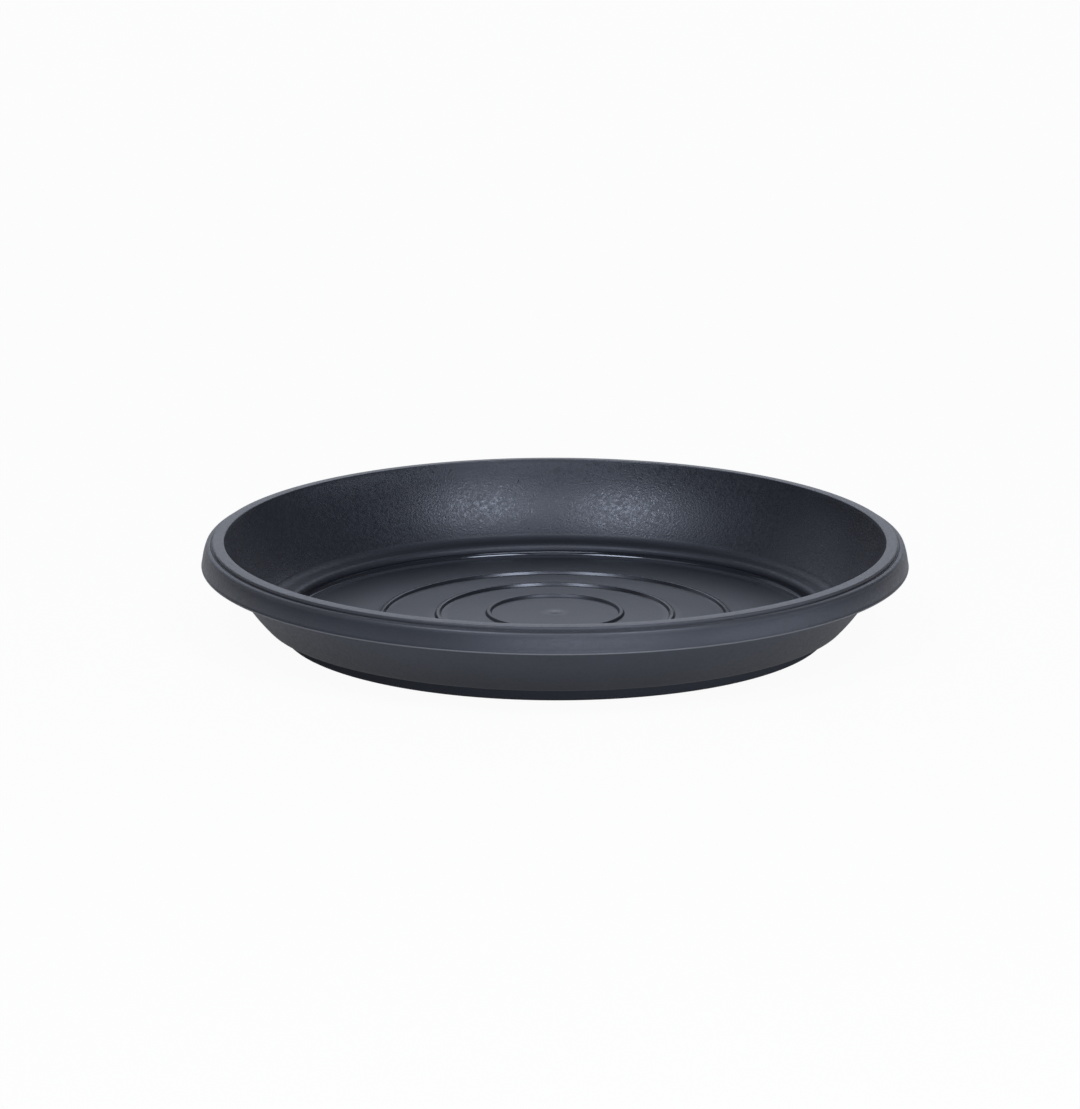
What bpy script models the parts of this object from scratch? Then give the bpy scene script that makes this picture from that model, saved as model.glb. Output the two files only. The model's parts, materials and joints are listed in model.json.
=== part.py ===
"""Plant saucer: one thin-walled plastic moulding, turned from a single outline.

Metres, +Z up. The axis of the saucer is Z and its foot ring stands on Z = 0.
Outline points are (distance from the axis, height).
"""
import math

import bpy

# Overall size
RIM_RADIUS = 0.1501
HEIGHT = 0.0397

# Rim: a crowned lip, a groove and a lower shoulder outside it, and a skirt that hangs from the shoulder
LIP_WIDTH = 0.0049
LIP_FALL = 0.0004
LIP_CROWN = 0.0002
LIP_STEP = 0.0017
LIP_INNER_ROUND = 0.0006
LIP_OUTER_ROUND = 0.0006
GROOVE_WIDTH = 0.0009
GROOVE_DEPTH = 0.0004
SHOULDER_WIDTH = 0.0025
SHOULDER_ROUND = 0.0020
SKIRT_HEIGHT = 0.0093
SKIRT_FLARE = 0.0022
SKIRT_BULGE = 0.00035
SKIRT_THICKNESS = 0.0020
SKIRT_ROUND = 0.0009
RIM_THICKNESS = 0.0022
RIM_ROOT_ROUND = 0.0010

# Wall: bowed outwards between the rim and the ledge
WALL_RUN = 0.0183
WALL_BULGE = 0.0022
WALL_THICKNESS = 0.0024
WALL_EDGE_ROUND = 0.0010

# Ledge inside the foot of the wall, and the step from the ledge down to the floor
LEDGE_HEIGHT = 0.0084
LEDGE_WIDTH = 0.0085
LEDGE_THICKNESS = 0.0021
LEDGE_ROOT_ROUND = 0.0050
LEDGE_ROUND = 0.0025
STEP_FOOT_ROUND = 0.0025

# Floor: a shallow dome with raised ring beads
FLOOR_EDGE_HEIGHT = 0.0028
FLOOR_CROWN = 0.0050
FLOOR_THICKNESS = 0.0022
BEAD_RADII = (0.0282, 0.0497, 0.0737)
BEAD_WIDTH = 0.0028
BEAD_HEIGHT = 0.0012

# Foot: it stands in from the wall, with a flat ring to rest on and a shallow recess inside that
FOOT_WALL = 0.0022
FOOT_WIDTH = 0.0070
FOOT_DEPTH = 0.0003
FOOT_ROUND = 0.0012
FOOT_ROOT_ROUND = 0.0008

# Fineness of the mesh
TURN_STEPS = 64
WALL_STEPS = 5
CURVE_STEPS = 2
ROUND_STEPS = 2
BEAD_STEPS = 4
UNDERSIDE_STEPS = 5
ROUND_SHARE = 0.48
MERGE_DISTANCE = 0.00001

# Finish
PLASTIC_COLOUR = (0.015, 0.017, 0.023, 1.0)
PLASTIC_ROUGHNESS = 0.45
SHARP_ANGLE = math.radians(50.0)


def clear_scene():
    for item in list(bpy.data.objects):
        bpy.data.objects.remove(item, do_unlink=True)


def arc_through(start, end, bulge):
    """Centre and radius of the arc from start to end that bows by bulge to the right of that way."""
    run = end[0] - start[0]
    rise = end[1] - start[1]
    chord = math.hypot(run, rise)
    radius = chord * chord / (8.0 * bulge) + bulge / 2.0
    back = (radius - bulge) / chord
    centre = ((start[0] + end[0]) / 2.0 - back * rise, (start[1] + end[1]) / 2.0 + back * run)
    return centre, radius


def angle_of(centre, point):
    return math.atan2(point[1] - centre[1], point[0] - centre[0])


def arc_points(centre, radius, start_angle, end_angle, steps):
    angles = [start_angle + (end_angle - start_angle) * step / steps for step in range(steps + 1)]
    return [(centre[0] + radius * math.cos(angle), centre[1] + radius * math.sin(angle)) for angle in angles]


def bowed(start, end, bulge, steps):
    centre, radius = arc_through(start, end, bulge)
    return arc_points(centre, radius, angle_of(centre, start), angle_of(centre, end), steps)


def plain(points):
    """Points that keep their place, in the form that rounded takes."""
    return [(distance, height, 0.0) for distance, height in points]


def round_corner(before, corner, after, rounding):
    """An arc in place of a corner, limited to a share of the two sides that it joins."""
    length_in = math.dist(before, corner)
    length_out = math.dist(after, corner)
    way_in = [(a - b) / length_in for a, b in zip(before, corner)]
    way_out = [(a - b) / length_out for a, b in zip(after, corner)]
    half = math.acos(way_in[0] * way_out[0] + way_in[1] * way_out[1]) / 2.0
    tangent = min(rounding / math.tan(half), ROUND_SHARE * length_in, ROUND_SHARE * length_out)
    middle = [a + b for a, b in zip(way_in, way_out)]
    reach = tangent / math.cos(half) / math.hypot(*middle)
    centre = [a + reach * b for a, b in zip(corner, middle)]
    start = [a + tangent * b for a, b in zip(corner, way_in)]
    end = [a + tangent * b for a, b in zip(corner, way_out)]
    start_angle = angle_of(centre, start)
    sweep = math.remainder(angle_of(centre, end) - start_angle, math.tau)
    return arc_points(centre, math.dist(centre, start), start_angle, start_angle + sweep, ROUND_STEPS)


def rounded(corners):
    """The outline through corners given as (distance, height, rounding)."""
    outline = [corners[0][:2]]
    for before, corner, after in zip(corners, corners[1:], corners[2:]):
        if corner[2] > 0.0:
            outline += round_corner(before[:2], corner[:2], after[:2], corner[2])
        else:
            outline.append(corner[:2])
    outline.append(corners[-1][:2])
    return outline


def floor_points(floor_radius):
    """Top of the domed floor, from the axis to short of its edge, with each bead that fits on it."""
    def dome(distance):
        return FLOOR_EDGE_HEIGHT + FLOOR_CROWN * (1.0 - (distance / floor_radius) ** 2)

    points = [(0.0, dome(0.0))]
    bead_radii = [radius for radius in BEAD_RADII if radius + 2.0 * BEAD_WIDTH < floor_radius]
    for bead in bead_radii:
        near = bead - BEAD_WIDTH / 2.0
        far = bead + BEAD_WIDTH / 2.0
        between = (points[-1][0] + near) / 2.0
        points.append((between, dome(between)))
        points += bowed((far, dome(far)), (near, dome(near)), BEAD_HEIGHT, BEAD_STEPS)[::-1]
    beyond = (points[-1][0] + floor_radius) / 2.0
    points.append((beyond, dome(beyond)))
    return points


def saucer_outline():
    """The whole outline: from the axis over the floor, up the wall, round the rim and back underneath."""
    # Distances from the axis, from the rim inwards
    shoulder_outer = RIM_RADIUS - SKIRT_FLARE
    lip_outer = shoulder_outer - SHOULDER_WIDTH
    groove_outer = lip_outer + GROOVE_WIDTH
    lip_inner = lip_outer - LIP_WIDTH
    ledge_outer = lip_inner - WALL_RUN
    floor_radius = ledge_outer - LEDGE_WIDTH
    foot_outer = floor_radius + FOOT_WALL
    foot_inner = foot_outer - FOOT_WIDTH

    # Heights
    lip_inner_height = HEIGHT - LIP_CROWN + LIP_FALL / 2.0
    lip_outer_height = lip_inner_height - LIP_FALL
    shoulder_height = HEIGHT - LIP_STEP
    groove_height = shoulder_height - GROOVE_DEPTH
    skirt_bottom = shoulder_height - SKIRT_HEIGHT
    skirt_root = shoulder_height - RIM_THICKNESS
    wall_root = lip_outer_height - RIM_THICKNESS
    ledge_underside = LEDGE_HEIGHT - LEDGE_THICKNESS
    underside_crown = FLOOR_EDGE_HEIGHT + FLOOR_CROWN - FLOOR_THICKNESS

    # The two faces of the wall share one centre
    wall_foot = (ledge_outer, LEDGE_HEIGHT)
    wall_top = (lip_inner, lip_inner_height)
    wall_centre, wall_radius = arc_through(wall_foot, wall_top, WALL_BULGE)
    inner_wall = bowed(wall_foot, wall_top, WALL_BULGE, WALL_STEPS)
    outer_radius = wall_radius + WALL_THICKNESS
    outer_top = math.asin((wall_root - wall_centre[1]) / outer_radius)
    outer_foot = math.asin((ledge_underside - wall_centre[1]) / outer_radius)
    outer_wall = arc_points(wall_centre, outer_radius, outer_top, outer_foot, WALL_STEPS)

    lip_land = bowed((lip_outer, lip_outer_height), wall_top, LIP_CROWN, CURVE_STEPS)[::-1]
    skirt_top = (shoulder_outer, shoulder_height)
    skirt = bowed((RIM_RADIUS, skirt_bottom), skirt_top, SKIRT_BULGE, CURVE_STEPS)[::-1]
    underside_bulge = (underside_crown - FOOT_DEPTH) / 4.0
    underside = bowed((foot_inner, FOOT_DEPTH), (0.0, underside_crown), underside_bulge, UNDERSIDE_STEPS)

    corners = plain(floor_points(floor_radius))
    corners += [
        (floor_radius, FLOOR_EDGE_HEIGHT, STEP_FOOT_ROUND),
        (floor_radius, LEDGE_HEIGHT, LEDGE_ROUND),
        (ledge_outer, LEDGE_HEIGHT, LEDGE_ROOT_ROUND),
    ]
    corners += plain(inner_wall[1:-1])
    corners += [(*wall_top, LIP_INNER_ROUND)]
    corners += plain(lip_land[1:-1])
    corners += [
        (lip_outer, lip_outer_height, LIP_OUTER_ROUND),
        (lip_outer, groove_height, 0.0),
        ((lip_outer + groove_outer) / 2.0, groove_height, 0.0),
        (groove_outer, shoulder_height, 0.0),
        (*skirt_top, SHOULDER_ROUND),
    ]
    corners += plain(skirt[1:-1])
    corners += [
        (RIM_RADIUS, skirt_bottom, SKIRT_ROUND),
        (RIM_RADIUS - SKIRT_THICKNESS, skirt_bottom, SKIRT_ROUND),
        (shoulder_outer - SKIRT_THICKNESS, skirt_root, RIM_ROOT_ROUND),
        (*outer_wall[0], RIM_ROOT_ROUND),
    ]
    corners += plain(outer_wall[1:-1])
    corners += [
        (*outer_wall[-1], WALL_EDGE_ROUND),
        (foot_outer, ledge_underside, FOOT_ROOT_ROUND),
        (foot_outer, 0.0, FOOT_ROUND),
        (foot_inner, 0.0, 0.0),
    ]
    corners += plain(underside)
    return rounded(corners)


def turned(name, outline):
    """A closed body made by turning the outline once round the Z axis."""
    profile = bpy.data.meshes.new(name + "_profile")
    edges = [(index, index + 1) for index in range(len(outline) - 1)]
    profile.from_pydata([(distance, 0.0, height) for distance, height in outline], edges, [])
    body = bpy.data.objects.new(name, profile)
    bpy.context.scene.collection.objects.link(body)
    screw = body.modifiers.new("turn", "SCREW")
    screw.axis = "Z"
    screw.angle = math.tau
    screw.steps = TURN_STEPS
    screw.render_steps = TURN_STEPS
    screw.use_merge_vertices = True
    screw.merge_threshold = MERGE_DISTANCE
    evaluated = body.evaluated_get(bpy.context.evaluated_depsgraph_get())
    mesh = bpy.data.meshes.new_from_object(evaluated)
    body.modifiers.clear()
    body.data = mesh
    mesh.name = name
    bpy.data.meshes.remove(profile)
    mesh.shade_smooth()
    mesh.set_sharp_from_angle(angle=SHARP_ANGLE)
    return body


def plastic():
    material = bpy.data.materials.new("anthracite_plastic")
    material.use_nodes = True
    shader = material.node_tree.nodes["Principled BSDF"]
    shader.inputs["Base Color"].default_value = PLASTIC_COLOUR
    shader.inputs["Roughness"].default_value = PLASTIC_ROUGHNESS
    shader.inputs["Metallic"].default_value = 0.0
    return material


clear_scene()
saucer = turned("saucer", saucer_outline())
saucer.data.materials.append(plastic())
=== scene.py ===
"""Looks of the plant saucer: a finely turned anthracite plastic moulding in a plain white studio.

Metres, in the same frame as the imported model: the axis of the saucer is Z and it stands on Z = 0.
Outline points are (distance from the axis, height).
"""
import json
import math

import bpy
from mathutils import Matrix, Vector


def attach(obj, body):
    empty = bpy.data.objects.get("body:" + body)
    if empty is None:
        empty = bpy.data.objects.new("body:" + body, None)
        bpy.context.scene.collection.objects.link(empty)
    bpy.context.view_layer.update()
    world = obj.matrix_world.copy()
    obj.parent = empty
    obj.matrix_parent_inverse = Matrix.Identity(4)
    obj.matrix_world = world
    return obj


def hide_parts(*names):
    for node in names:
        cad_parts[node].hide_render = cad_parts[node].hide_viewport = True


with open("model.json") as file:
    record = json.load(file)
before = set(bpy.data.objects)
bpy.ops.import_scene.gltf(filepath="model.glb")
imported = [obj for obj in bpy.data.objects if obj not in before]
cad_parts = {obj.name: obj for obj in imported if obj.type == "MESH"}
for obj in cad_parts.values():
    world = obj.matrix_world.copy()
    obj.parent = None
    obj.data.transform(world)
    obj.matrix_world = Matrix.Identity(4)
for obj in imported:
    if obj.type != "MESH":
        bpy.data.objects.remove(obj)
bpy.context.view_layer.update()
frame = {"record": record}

# Overall size
RIM_RADIUS = 0.15002
HEIGHT = 0.03959

# Rim: a crowned lip, a groove and a lower shoulder outside it, and a skirt that hangs from the shoulder
LIP_WIDTH = 0.0049
LIP_FALL = 0.0004
LIP_CROWN = 0.00012
LIP_STEP = 0.0017
LIP_INNER_ROUND = 0.0006
LIP_OUTER_ROUND = 0.0006
GROOVE_WIDTH = 0.0009
GROOVE_DEPTH = 0.0002
GROOVE_ROUND = 0.0003
SHOULDER_WIDTH = 0.0025
SHOULDER_ROUND = 0.0020
SKIRT_HEIGHT = 0.0093
SKIRT_FLARE = 0.0022
SKIRT_BULGE = 0.00035
SKIRT_THICKNESS = 0.0020
SKIRT_ROUND = 0.0007
PARTING_DEPTH = 0.0003
PARTING_HEIGHT = 0.0008
PARTING_ROUND = 0.0003
RIM_THICKNESS = 0.0022
RIM_ROOT_ROUND = 0.0010

# Wall: bowed outwards between the rim and the ledge
WALL_RUN = 0.0183
WALL_BULGE = 0.0022
WALL_THICKNESS = 0.0024
WALL_EDGE_ROUND = 0.0010

# Ledge inside the foot of the wall, and the step from the ledge down to the floor
LEDGE_HEIGHT = 0.0084
LEDGE_WIDTH = 0.0085
LEDGE_THICKNESS = 0.0021
LEDGE_ROOT_ROUND = 0.0050
LEDGE_ROUND = 0.0025
STEP_FOOT_ROUND = 0.0025

# Floor: a shallow dome with raised ring beads, and a dimple for the gate mark at its centre
FLOOR_EDGE_HEIGHT = 0.0028
FLOOR_CROWN = 0.0050
FLOOR_THICKNESS = 0.0022
BEAD_RADII = (0.0282, 0.0497, 0.0737)
BEAD_WIDTH = 0.0028
BEAD_HEIGHT = 0.0012
BEAD_SLOPE = math.radians(60.0)
BEAD_ROUND = 0.0005
GATE_RADIUS = 0.0027
GATE_DEPTH = 0.0001

# Foot: it stands in from the wall, with a flat ring to rest on and a shallow recess inside that
FOOT_WALL = 0.0022
FOOT_WIDTH = 0.0070
FOOT_DEPTH = 0.0003
FOOT_ROUND = 0.0012
FOOT_ROOT_ROUND = 0.0008

# Fineness of the mesh, and the shares of a side that roundings and the points beside them take
TURN_STEPS = 264
WALL_STEPS = 24
CURVE_STEPS = 8
ROUND_STEPS = 8
DOME_STEPS = 6
UNDERSIDE_STEPS = 16
ROUNDED_SHARE = 0.96
HOLD_SHARE = 0.04
SHARP_ANGLE = math.radians(35.0)

# Finish of each zone of the skin: how much of the grain's depth it has, its roughness, and how much of
# the paler painted highlight colour it takes
FINISH_VALUES = ("grain", "roughness", "painted_lightening")
GRAINED = (1.0, 0.39, 0.0)
FINE_GRAINED = (0.5, 0.46, 0.0)
BLASTED = (0.5, 0.52, 0.0)
SATIN = (0.12, 0.42, 0.0)
SLEEK = (0.3, 0.35, 0.0)
SMOOTH = (0.0, 0.27, 0.0)
POLISHED = (0.0, 0.12, 0.0)
MATT = (0.0, 0.90, 0.0)
# Grained and rough, with a painted highlight that makes the colour paler where the rim's edges catch
# light
EDGE_PAINTED_HIGHLIGHT = (0.4, 0.43, 0.20)
# Fully the paler colour: a painted highlight along the parting line
PARTING_PAINTED_HIGHLIGHT = (0.0, 0.40, 1.0)
BEAD_FINISHES = (SATIN, SMOOTH, SMOOTH)

# Colour of the plastic: mottled between a darker and a lighter shade, and paler where a highlight is
# painted on
MOTTLE_SCALE = 60.0
MOTTLE_DETAIL = 4.0
MOTTLE_RANGE = (0.3, 0.7)
MOTTLE_SHADES = (0.9, 1.1)
PAINTED_HIGHLIGHT_COLOUR = (0.115, 0.115, 0.118, 1.0)

# Gloss of the plastic, which sparkles where the grain makes the roughness uneven
REFLECTION_TINT = (0.86, 0.91, 1.0, 1.0)
REFLECTION_LEVEL = 0.86
SPARKLE_SCALE = 650.0
SPARKLE_DETAIL = 3.0
SPARKLE = 0.54
NOISE_MIDDLE = 0.5

# Grain of the plastic: a coarser and a finer noise together
GRAIN_SCALE = 1100.0
FINE_GRAIN_SCALE = 1500.0
FINE_GRAIN_SHARE = 0.3
GRAIN_DETAIL = 2.0
GRAIN_DEPTH = 0.00011

# Camera of the photograph, with the image taken as 1080 x 1109
IMAGE_WIDTH_PX = 1080.0
FOCAL_PX = 11775.0
SENSOR_WIDTH_MM = 36.0
CAMERA_DISTANCE = 5.0
CAMERA_ELEVATION = math.radians(14.7935)
CAMERA_ROLL = math.radians(0.1)
CAMERA_AIM = (-0.00640, 0.00814, 0.03094)

# Softboxes: name, azimuth and elevation in degrees, width, height and brightness
LIGHT_COLOUR = (0.93, 0.98, 1.11)
SOFTBOX_DISTANCE = 1.75
SOFTBOXES = (
    ("key_right", 34.0, 50.0, 0.55, 0.50, 9.2),
    ("key_left", -34.0, 53.0, 0.55, 0.50, 9.2),
    ("key_middle", 0.0, 49.0, 0.50, 0.45, 1.2),
    ("fill_above", -5.0, 72.0, 1.2, 0.3, 0.45),
    ("fill_left", -65.0, 52.0, 0.7, 0.9, 0.5),
    ("strip_front", 8.0, 10.0, 1.7, 0.25, 6.8),
    ("strip_right", 66.0, 5.0, 1.5, 0.28, 3.5),
    ("strip_left", -58.0, 5.0, 1.2, 0.28, 0.5),
    ("side_left", -125.0, 25.0, 0.9, 0.7, 0.34),
    ("back_low", 180.0, 9.0, 2.4, 0.48, 0.72),
    ("back_high", 180.0, 33.0, 2.1, 0.80, 1.2),
    ("back_top", 180.0, 56.0, 1.2, 0.60, 0.2),
)

# Room: a faint white light from everywhere
ROOM_COLOUR = (1.0, 1.0, 1.0, 1.0)
ROOM_LEVEL = 0.075

# Floor: how white the camera sees it, and its glow in reflections, dimmed near the saucer as a painted
# shadow and fuller far from it
FLOOR_SIZE = 12.0
FLOOR_DROP = 0.0002
FLOOR_COLOUR = (0.8, 0.8, 0.8, 1.0)
FLOOR_GLOW = 0.95
REFLECTED_GLOW_IN_PAINTED_SHADE = 0.25
REFLECTED_GLOW_FAR = 0.50
PAINTED_SHADE_RADIUS = 0.16
PAINTED_SHADE_END_RADIUS = 0.34


def arc_through(start, end, bulge):
    """Centre and radius of the arc from start to end that bows by bulge to the right of that way."""
    run = end[0] - start[0]
    rise = end[1] - start[1]
    chord = math.hypot(run, rise)
    radius = chord * chord / (8.0 * bulge) + bulge / 2.0
    back = (radius - bulge) / chord
    centre = ((start[0] + end[0]) / 2.0 - back * rise, (start[1] + end[1]) / 2.0 + back * run)
    return centre, radius


def angle_of(centre, point):
    return math.atan2(point[1] - centre[1], point[0] - centre[0])


def arc_points(centre, radius, start_angle, end_angle, steps):
    angles = [start_angle + (end_angle - start_angle) * step / steps for step in range(steps + 1)]
    across, up = centre
    return [(across + radius * math.cos(angle), up + radius * math.sin(angle)) for angle in angles]


def bowed(start, end, bulge, steps):
    centre, radius = arc_through(start, end, bulge)
    return arc_points(centre, radius, angle_of(centre, start), angle_of(centre, end), steps)


def round_corner(before, corner, after, rounding, share_in, share_out):
    """An arc in place of a corner, limited to a share of each of the two sides that it joins.

    A point on each side, just off the arc, keeps the side's own shading straight.
    """
    length_in = math.dist(before, corner)
    length_out = math.dist(after, corner)
    way_in = [(a - b) / length_in for a, b in zip(before, corner)]
    way_out = [(a - b) / length_out for a, b in zip(after, corner)]
    half = math.acos(way_in[0] * way_out[0] + way_in[1] * way_out[1]) / 2.0
    tangent = min(rounding / math.tan(half), share_in * length_in, share_out * length_out)
    middle = [a + b for a, b in zip(way_in, way_out)]
    reach = tangent / math.cos(half) / math.hypot(*middle)
    centre = [a + reach * b for a, b in zip(corner, middle)]
    start = [a + tangent * b for a, b in zip(corner, way_in)]
    end = [a + tangent * b for a, b in zip(corner, way_out)]
    start_angle = angle_of(centre, start)
    sweep = math.remainder(angle_of(centre, end) - start_angle, math.tau)
    arc = arc_points(centre, math.dist(centre, start), start_angle, start_angle + sweep, ROUND_STEPS)
    first = tuple(a + HOLD_SHARE * (b - a) for a, b in zip(start, before))
    last = tuple(a + HOLD_SHARE * (b - a) for a, b in zip(end, after))
    return [first, *arc, last]


def plain(points, finish):
    """Corners without a rounding, as rounded takes them."""
    return [(distance, height, 0.0, finish) for distance, height in points]


def floor_corners(floor_radius):
    """Top of the domed floor with its gate mark and beads, from the axis to short of the floor's edge."""
    def dome(distance):
        return FLOOR_EDGE_HEIGHT + FLOOR_CROWN * (1.0 - (distance / floor_radius) ** 2)

    # The gate mark is half of an arc across the axis
    gate_edge = dome(GATE_RADIUS)
    gate = bowed((-GATE_RADIUS, gate_edge), (GATE_RADIUS, gate_edge), GATE_DEPTH, 2 * CURVE_STEPS)
    points = plain(gate[CURVE_STEPS:], SMOOTH)

    # Each bead has two straight flanks and a flat crest
    bead_run = BEAD_HEIGHT / math.tan(BEAD_SLOPE)
    for bead, finish in zip(BEAD_RADII, BEAD_FINISHES):
        start = points[-1][0]
        near = bead - BEAD_WIDTH / 2.0
        far = bead + BEAD_WIDTH / 2.0
        for step in range(1, DOME_STEPS):
            distance = start + (near - start) * step / DOME_STEPS
            points.append((distance, dome(distance), 0.0, SATIN))
        points += [
            (near, dome(near), 0.0, finish),
            (near + bead_run, dome(near + bead_run) + BEAD_HEIGHT, BEAD_ROUND, finish),
            (far - bead_run, dome(far - bead_run) + BEAD_HEIGHT, BEAD_ROUND, finish),
            (far, dome(far), 0.0, finish),
        ]

    start = points[-1][0]
    for step in range(1, 2 * DOME_STEPS):
        distance = start + (floor_radius - start) * step / (2 * DOME_STEPS)
        points.append((distance, dome(distance), 0.0, SATIN))
    return points


def rounded(corners):
    """The outline as (distance, height, finish), from corners as (distance, height, rounding, finish).

    The roundings at the two ends of a side share it in proportion to their sizes. The first half of a
    polished rounding is matt, so that it meets the floor without a bright line.
    """
    outline = [(*corners[0][:2], corners[0][3])]
    for before, corner, after in zip(corners, corners[1:], corners[2:]):
        place = corner[:2]
        rounding, finish = corner[2:]
        points = [place]
        if rounding > 0.0:
            share_in = ROUNDED_SHARE * rounding / (rounding + before[2])
            share_out = ROUNDED_SHARE * rounding / (rounding + after[2])
            points = round_corner(before[:2], place, after[:2], rounding, share_in, share_out)
        matt_count = len(points) // 2 if finish == POLISHED else 0
        outline += [(*point, MATT) for point in points[:matt_count]]
        outline += [(*point, finish) for point in points[matt_count:]]
    outline.append((*corners[-1][:2], corners[-1][3]))
    return outline


def saucer_outline():
    """The whole outline: from the axis over the floor, up the wall, round the rim and back underneath."""
    # Distances from the axis, from the rim inwards
    shoulder_outer = RIM_RADIUS - SKIRT_FLARE
    lip_outer = shoulder_outer - SHOULDER_WIDTH
    groove_outer = lip_outer + GROOVE_WIDTH
    lip_inner = lip_outer - LIP_WIDTH
    ledge_outer = lip_inner - WALL_RUN
    floor_radius = ledge_outer - LEDGE_WIDTH
    foot_outer = floor_radius + FOOT_WALL
    foot_inner = foot_outer - FOOT_WIDTH

    # Heights
    lip_inner_height = HEIGHT - LIP_CROWN + LIP_FALL / 2.0
    lip_outer_height = lip_inner_height - LIP_FALL
    shoulder_height = HEIGHT - LIP_STEP
    groove_height = shoulder_height - GROOVE_DEPTH
    skirt_bottom = shoulder_height - SKIRT_HEIGHT
    skirt_root = shoulder_height - RIM_THICKNESS
    wall_root = lip_outer_height - RIM_THICKNESS
    ledge_underside = LEDGE_HEIGHT - LEDGE_THICKNESS
    underside_crown = FLOOR_EDGE_HEIGHT + FLOOR_CROWN - FLOOR_THICKNESS

    # The two faces of the wall share one centre
    wall_foot = (ledge_outer, LEDGE_HEIGHT)
    wall_top = (lip_inner, lip_inner_height)
    wall_centre, wall_radius = arc_through(wall_foot, wall_top, WALL_BULGE)
    inner_wall = bowed(wall_foot, wall_top, WALL_BULGE, WALL_STEPS)
    outer_radius = wall_radius + WALL_THICKNESS
    outer_top = math.asin((wall_root - wall_centre[1]) / outer_radius)
    outer_foot = math.asin((ledge_underside - wall_centre[1]) / outer_radius)
    outer_wall = arc_points(wall_centre, outer_radius, outer_top, outer_foot, WALL_STEPS)

    lip_land = bowed((lip_outer, lip_outer_height), wall_top, LIP_CROWN, CURVE_STEPS)[::-1]
    skirt_outer = RIM_RADIUS - PARTING_DEPTH
    parting_top = skirt_bottom + PARTING_HEIGHT
    skirt_top = (shoulder_outer, shoulder_height)
    skirt = bowed((skirt_outer, parting_top), skirt_top, SKIRT_BULGE, CURVE_STEPS)[::-1]

    # A dome like the floor's bows from its chord by a quarter of its rise
    underside_bulge = (underside_crown - FOOT_DEPTH) / 4.0
    underside = bowed((foot_inner, FOOT_DEPTH), (0.0, underside_crown), underside_bulge, UNDERSIDE_STEPS)

    # A curve leaves out its ends where a rounded corner takes their place
    corners = floor_corners(floor_radius)
    corners += [
        (floor_radius, FLOOR_EDGE_HEIGHT, STEP_FOOT_ROUND, POLISHED),
        (floor_radius, LEDGE_HEIGHT, LEDGE_ROUND, BLASTED),
        (ledge_outer, LEDGE_HEIGHT, LEDGE_ROOT_ROUND, BLASTED),
    ]
    corners += plain(inner_wall[2:-1], GRAINED)
    corners += [(*wall_top, LIP_INNER_ROUND, SLEEK)]
    corners += plain(lip_land[1:-1], SLEEK)
    corners += [
        # The lip's outer edge, the groove's outer side and the shoulder carry a painted highlight in
        # their colour
        (lip_outer, lip_outer_height, LIP_OUTER_ROUND, EDGE_PAINTED_HIGHLIGHT),
        (lip_outer, groove_height, GROOVE_ROUND, FINE_GRAINED),
        ((lip_outer + groove_outer) / 2.0, groove_height, GROOVE_ROUND, FINE_GRAINED),
        (groove_outer, shoulder_height, GROOVE_ROUND, EDGE_PAINTED_HIGHLIGHT),
        (*skirt_top, SHOULDER_ROUND, EDGE_PAINTED_HIGHLIGHT),
    ]
    corners += plain(skirt[2:-1], FINE_GRAINED)
    corners += [
        (skirt_outer, parting_top, 0.0, FINE_GRAINED),
        # The parting ridge is painted paler as a highlight
        (RIM_RADIUS, skirt_bottom + PARTING_HEIGHT / 2.0, PARTING_ROUND, PARTING_PAINTED_HIGHLIGHT),
        (skirt_outer, skirt_bottom, PARTING_ROUND, SATIN),
        (RIM_RADIUS - SKIRT_THICKNESS, skirt_bottom, SKIRT_ROUND, SATIN),
        (shoulder_outer - SKIRT_THICKNESS, skirt_root, RIM_ROOT_ROUND, SATIN),
        (*outer_wall[0], RIM_ROOT_ROUND, SATIN),
    ]
    corners += plain(outer_wall[1:-1], FINE_GRAINED)
    corners += [
        (*outer_wall[-1], WALL_EDGE_ROUND, SATIN),
        (foot_outer, ledge_underside, FOOT_ROOT_ROUND, MATT),
        (foot_outer, 0.0, FOOT_ROUND, MATT),
        (foot_inner, 0.0, 0.0, MATT),
    ]
    corners += plain(underside, SATIN)
    return rounded(corners)


def turned(name, outline):
    """A closed mesh made by turning the outline, whose two ends lie on the axis, once round Z."""
    rings = outline[1:-1]
    turns = [(math.cos(angle), math.sin(angle)) for angle in
             (math.tau * step / TURN_STEPS for step in range(TURN_STEPS))]
    points = [(distance * cosine, distance * sine, height)
              for distance, height, _ in rings for cosine, sine in turns]
    finishes = [finish for _, _, finish in rings for _ in turns]
    top = len(points)
    bottom = top + 1
    points += [(0.0, 0.0, outline[0][1]), (0.0, 0.0, outline[-1][1])]
    finishes += [outline[0][2], outline[-1][2]]

    faces = []
    last_ring = (len(rings) - 1) * TURN_STEPS
    for step in range(TURN_STEPS):
        following = (step + 1) % TURN_STEPS
        faces.append((top, step, following))
        for ring in range(0, last_ring, TURN_STEPS):
            next_ring = ring + TURN_STEPS
            faces.append((ring + step, next_ring + step, next_ring + following, ring + following))
        faces.append((last_ring + step, bottom, last_ring + following))

    mesh = bpy.data.meshes.new(name)
    mesh.from_pydata(points, [], faces)
    for column, value_name in enumerate(FINISH_VALUES):
        values = mesh.attributes.new(value_name, "FLOAT", "POINT")
        values.data.foreach_set("value", [finish[column] for finish in finishes])
    mesh.shade_smooth()
    mesh.set_sharp_from_angle(angle=SHARP_ANGLE)
    piece = bpy.data.objects.new(name, mesh)
    bpy.context.scene.collection.objects.link(piece)
    return piece


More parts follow.
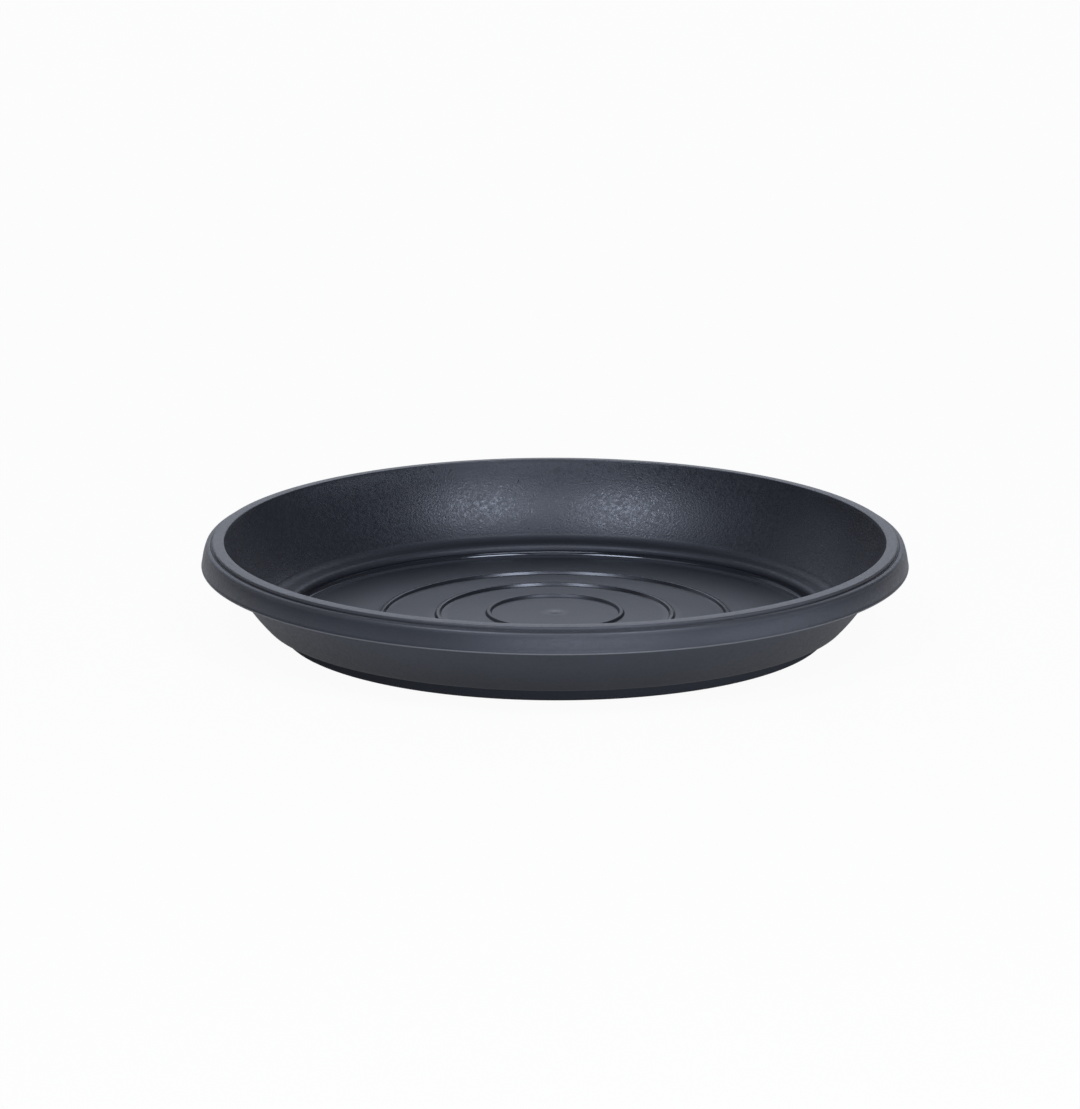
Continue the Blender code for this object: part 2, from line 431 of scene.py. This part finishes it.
def maths(tree, operation, first, second):
    """Output of a maths node, whose two inputs are numbers or the outputs of other nodes."""
    node = tree.nodes.new("ShaderNodeMath")
    node.operation = operation
    for socket, value in zip(node.inputs, (first, second)):
        if isinstance(value, float):
            socket.default_value = value
        else:
            tree.links.new(value, socket)
    return node.outputs["Value"]


def plastic(colour):
    """Moulded anthracite plastic: slight mottling, with grain, roughness and a paler painted highlight by
    zone.
    """
    material = bpy.data.materials.new("anthracite_plastic")
    material.use_nodes = True
    tree = material.node_tree
    nodes = tree.nodes
    link = tree.links.new
    shader = nodes["Principled BSDF"]
    place = nodes.new("ShaderNodeTexCoord").outputs["Object"]

    def noise(scale, detail):
        texture = nodes.new("ShaderNodeTexNoise")
        texture.inputs["Scale"].default_value = scale
        texture.inputs["Detail"].default_value = detail
        link(place, texture.inputs["Vector"])
        return texture.outputs["Fac"]

    def attribute(name):
        node = nodes.new("ShaderNodeAttribute")
        node.attribute_name = name
        return node.outputs["Fac"]

    mottle = nodes.new("ShaderNodeValToRGB")
    for stop, position, shade in zip(mottle.color_ramp.elements, MOTTLE_RANGE, MOTTLE_SHADES):
        stop.position = position
        stop.color = [shade * part for part in colour] + [1.0]
    link(noise(MOTTLE_SCALE, MOTTLE_DETAIL), mottle.inputs["Fac"])
    # A paler colour mixed in by zone: a painted highlight on the rim's edges and on the parting line
    lightened = nodes.new("ShaderNodeMix")
    lightened.data_type = "RGBA"
    link(attribute("painted_lightening"), lightened.inputs["Factor"])
    link(mottle.outputs["Color"], lightened.inputs["A"])
    lightened.inputs["B"].default_value = PAINTED_HIGHLIGHT_COLOUR
    link(lightened.outputs["Result"], shader.inputs["Base Color"])

    sparkle = maths(tree, "SUBTRACT", noise(SPARKLE_SCALE, SPARKLE_DETAIL), NOISE_MIDDLE)
    sparkle = maths(tree, "MULTIPLY", sparkle, SPARKLE)
    sparkle = maths(tree, "MULTIPLY", sparkle, attribute("grain"))
    link(maths(tree, "ADD", attribute("roughness"), sparkle), shader.inputs["Roughness"])
    shader.inputs["Specular Tint"].default_value = REFLECTION_TINT
    shader.inputs["Specular IOR Level"].default_value = REFLECTION_LEVEL

    fine_grain = maths(tree, "MULTIPLY", noise(FINE_GRAIN_SCALE, GRAIN_DETAIL), FINE_GRAIN_SHARE)
    grain = maths(tree, "ADD", noise(GRAIN_SCALE, GRAIN_DETAIL), fine_grain)
    bump = nodes.new("ShaderNodeBump")
    bump.inputs["Strength"].default_value = 1.0
    bump.inputs["Distance"].default_value = GRAIN_DEPTH
    link(maths(tree, "MULTIPLY", grain, attribute("grain")), bump.inputs["Height"])
    link(bump.outputs["Normal"], shader.inputs["Normal"])
    return material


def floor_plane():
    half = FLOOR_SIZE / 2.0
    mesh = bpy.data.meshes.new("studio_floor")
    corners = [(-half, -half), (half, -half), (half, half), (-half, half)]
    mesh.from_pydata([(x, y, -FLOOR_DROP) for x, y in corners], [], [(0, 1, 2, 3)])
    plane = bpy.data.objects.new("studio_floor", mesh)
    bpy.context.scene.collection.objects.link(plane)
    mesh.materials.append(white_floor())


def white_floor():
    """Matt white that glows for the camera, and in reflections more so away from the saucer, with a
    painted shadow dimming the reflected glow near it.

    It is no lamp, and it keeps the shadows.
    """
    material = bpy.data.materials.new("white_floor")
    material.use_nodes = True
    tree = material.node_tree
    link = tree.links.new
    matt = tree.nodes["Principled BSDF"]
    matt.inputs["Base Color"].default_value = FLOOR_COLOUR
    matt.inputs["Roughness"].default_value = 1.0
    matt.inputs["Specular IOR Level"].default_value = 0.0
    glow = tree.nodes.new("ShaderNodeEmission")
    glow.inputs["Strength"].default_value = 1.0
    path = tree.nodes.new("ShaderNodeLightPath")
    seen = maths(tree, "MAXIMUM", path.outputs["Is Camera Ray"], path.outputs["Is Transmission Ray"])
    place = tree.nodes.new("ShaderNodeTexCoord").outputs["Object"]
    distance = tree.nodes.new("ShaderNodeVectorMath")
    distance.operation = "LENGTH"
    link(place, distance.inputs[0])
    # The reflected glow is dimmer near the saucer: a painted shadow on the floor around the saucer
    painted_shade_fade = tree.nodes.new("ShaderNodeMapRange")
    painted_shade_fade.inputs["From Min"].default_value = PAINTED_SHADE_RADIUS
    painted_shade_fade.inputs["From Max"].default_value = PAINTED_SHADE_END_RADIUS
    painted_shade_fade.inputs["To Min"].default_value = REFLECTED_GLOW_IN_PAINTED_SHADE
    painted_shade_fade.inputs["To Max"].default_value = REFLECTED_GLOW_FAR
    link(distance.outputs["Value"], painted_shade_fade.inputs["Value"])
    seen_glow = maths(tree, "MULTIPLY", seen, FLOOR_GLOW)
    reflected_glow = maths(tree, "MULTIPLY", path.outputs["Is Glossy Ray"], painted_shade_fade.outputs["Result"])
    mix = tree.nodes.new("ShaderNodeMixShader")
    link(maths(tree, "MAXIMUM", seen_glow, reflected_glow), mix.inputs["Fac"])
    link(matt.outputs["BSDF"], mix.inputs[1])
    link(glow.outputs["Emission"], mix.inputs[2])
    link(mix.outputs["Shader"], tree.nodes["Material Output"].inputs["Surface"])
    return material


def direction(azimuth, elevation):
    """Unit vector at an azimuth to the right of the camera's side, and an elevation."""
    level = math.cos(elevation)
    return Vector((level * math.sin(azimuth), -level * math.cos(azimuth), math.sin(elevation)))


def softbox(name, azimuth, elevation, width, height, brightness):
    """A lamp that faces the saucer, as bright to look at as brightness says, whatever its size."""
    lamp = bpy.data.lights.new(name, "AREA")
    lamp.shape = "RECTANGLE"
    lamp.size = width
    lamp.size_y = height
    lamp.energy = brightness * math.pi * width * height
    lamp.color = LIGHT_COLOUR
    holder = bpy.data.objects.new(name, lamp)
    bpy.context.scene.collection.objects.link(holder)
    holder.location = direction(math.radians(azimuth), math.radians(elevation)) * SOFTBOX_DISTANCE
    holder.rotation_euler = (-holder.location).to_track_quat("-Z", "Y").to_euler()
    holder.visible_camera = False


def studio_world():
    """A dim room that is white where the camera sees it."""
    world = bpy.data.worlds.new("studio_room")
    bpy.context.scene.world = world
    world.use_nodes = True
    tree = world.node_tree
    background = tree.nodes["Background"]
    background.inputs["Color"].default_value = ROOM_COLOUR
    path = tree.nodes.new("ShaderNodeLightPath")
    seen = maths(tree, "MAXIMUM", path.outputs["Is Camera Ray"], path.outputs["Is Transmission Ray"])
    tree.links.new(maths(tree, "MAXIMUM", seen, ROOM_LEVEL), background.inputs["Strength"])


def photo_camera():
    lens = bpy.data.cameras.new("photo_camera")
    lens.sensor_fit = "HORIZONTAL"
    lens.sensor_width = SENSOR_WIDTH_MM
    lens.lens = SENSOR_WIDTH_MM * FOCAL_PX / IMAGE_WIDTH_PX
    camera = bpy.data.objects.new("photo_camera", lens)
    bpy.context.scene.collection.objects.link(camera)
    camera.location = direction(0.0, CAMERA_ELEVATION) * CAMERA_DISTANCE
    view = (Vector(CAMERA_AIM) - camera.location).to_track_quat("-Z", "Y")
    camera.rotation_euler = (view.to_matrix() @ Matrix.Rotation(CAMERA_ROLL, 3, "Z")).to_euler()
    bpy.context.scene.camera = camera


saucer = turned("saucer_skin", saucer_outline())
saucer.data.materials.append(plastic(frame["record"]["materials"][0]["base_color"]))
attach(saucer, "root")
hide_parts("saucer")

floor_plane()
for lamp_values in SOFTBOXES:
    softbox(*lamp_values)
studio_world()
photo_camera()
bpy.context.scene.view_settings.view_transform = "Standard"
